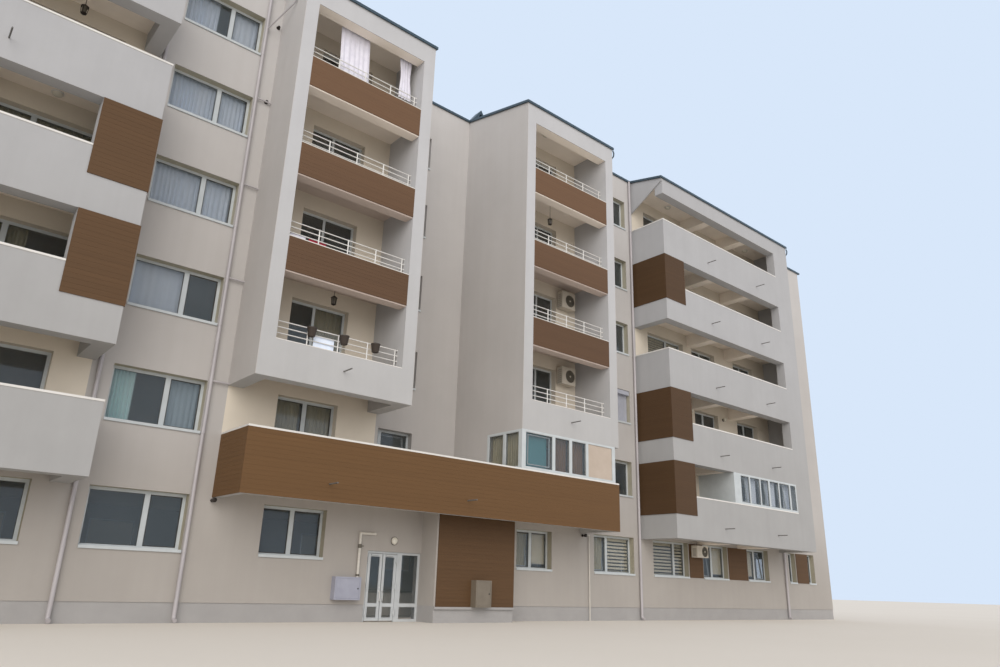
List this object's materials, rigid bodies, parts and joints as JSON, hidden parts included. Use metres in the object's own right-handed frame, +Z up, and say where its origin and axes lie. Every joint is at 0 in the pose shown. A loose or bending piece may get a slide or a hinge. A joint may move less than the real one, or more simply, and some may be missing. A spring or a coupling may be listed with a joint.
{
  "type": "1:2 scale model of a six-storey apartment block",
  "caption": "Long flat-fronted housing block, here at 1:2, with balcony stacks, framed loggias round a recessed stair front, a long canopy balcony and a hinged entrance.",
  "frame": {"origin": "on the ground under the middle of the building's box", "axes": "+Z up, +X along the front to the right as seen from the street, -Y towards the street"},
  "size_m": [25.8, 7.155, 10.42],
  "materials": {
    "concrete": "grey concrete floors and soffits",
    "roof_sheet": "dark blue-grey coated sheet steel",
    "wall_render": "pale grey painted render",
    "balcony_render": "off-white painted render",
    "white_frame": "white window plastic",
    "window_glass": "clear float glass",
    "brown_cladding": "brown coated boards with fine horizontal grooves",
    "railing_paint": "pale painted steel",
    "coping_paint": "pale coated sheet coping",
    "pipe_paint": "pale grey coated sheet pipe",
    "cabinet_paint": "grey painted sheet steel cabinet",
    "cooler_paint": "off-white painted casing",
    "lamp_glass": "opal lamp cover"
  },
  "bodies": {
    "building": {"ground_floor": "concrete", "hall_floor": "concrete", "upper_floors": "concrete", "roof_front": "roof_sheet", "roof_rear": "roof_sheet", "front_wall_left": "wall_render", "front_wall_right": "wall_render", "stair_wall": "wall_render", "stair_side_walls": "wall_render", "entrance_lintel": "wall_render", "entrance_wall": "wall_render", "rear_wall": "wall_render", "left_end_wall": "wall_render", "right_end_wall": "wall_render", "front_window_frames": "white_frame", "front_window_glass": "window_glass", "rear_window_frames": "white_frame", "rear_window_glass": "window_glass", "end_window_frames": "white_frame", "end_window_glass": "window_glass", "wall_panels": "brown_cladding", "left_balcony_floors": "concrete", "left_balcony_parapets": "balcony_render", "left_balcony_column": "balcony_render", "left_corner_panels": "brown_cladding", "right_balcony_floors": "concrete", "right_balcony_parapets": "balcony_render", "right_balcony_column": "balcony_render", "right_corner_panels": "brown_cladding", "corner_walls": "balcony_render", "left_loggia_frame": "balcony_render", "left_loggia_floors": "balcony_render", "left_loggia_cladding": "brown_cladding", "left_loggia_railings": "railing_paint", "right_loggia_frame": "balcony_render", "right_loggia_floors": "balcony_render", "right_loggia_cladding": "brown_cladding", "right_loggia_railings": "railing_paint", "canopy_floor": "concrete", "canopy_parapet": "balcony_render", "canopy_cladding": "brown_cladding", "canopy_coping": "coping_paint", "sign_walls": "wall_render", "sign_panel": "brown_cladding", "winter_garden_frame": "white_frame", "winter_garden_glass": "window_glass", "entrance_frame": "white_frame", "sidelight_glass": "window_glass", "downpipes": "pipe_paint", "rain_spouts": "pipe_paint", "gas_pipes": "pipe_paint", "meter_cabinets": "cabinet_paint", "air_conditioners": "cooler_paint", "entrance_lamp": "lamp_glass", "roof_vent": "roof_sheet"},
    "left_door_leaf": {"entrance_leaf_left": "white_frame", "left_leaf_glass": "window_glass"},
    "right_door_leaf": {"entrance_leaf_right": "white_frame", "right_leaf_glass": "window_glass"}
  },
  "joints": [
    {"name": "left_leaf_hinge", "type": "hinge", "parent": "building", "child": "left_door_leaf", "pos_m": [-1.067, -2.4355, 0.4925], "axis": [0, 0, -1], "range_deg": [0, 90]},
    {"name": "right_leaf_hinge", "type": "hinge", "parent": "building", "child": "right_door_leaf", "pos_m": [-0.568, -2.4355, 0.4925], "axis": [0, 0, 1], "range_deg": [0, 90]}
  ]
}
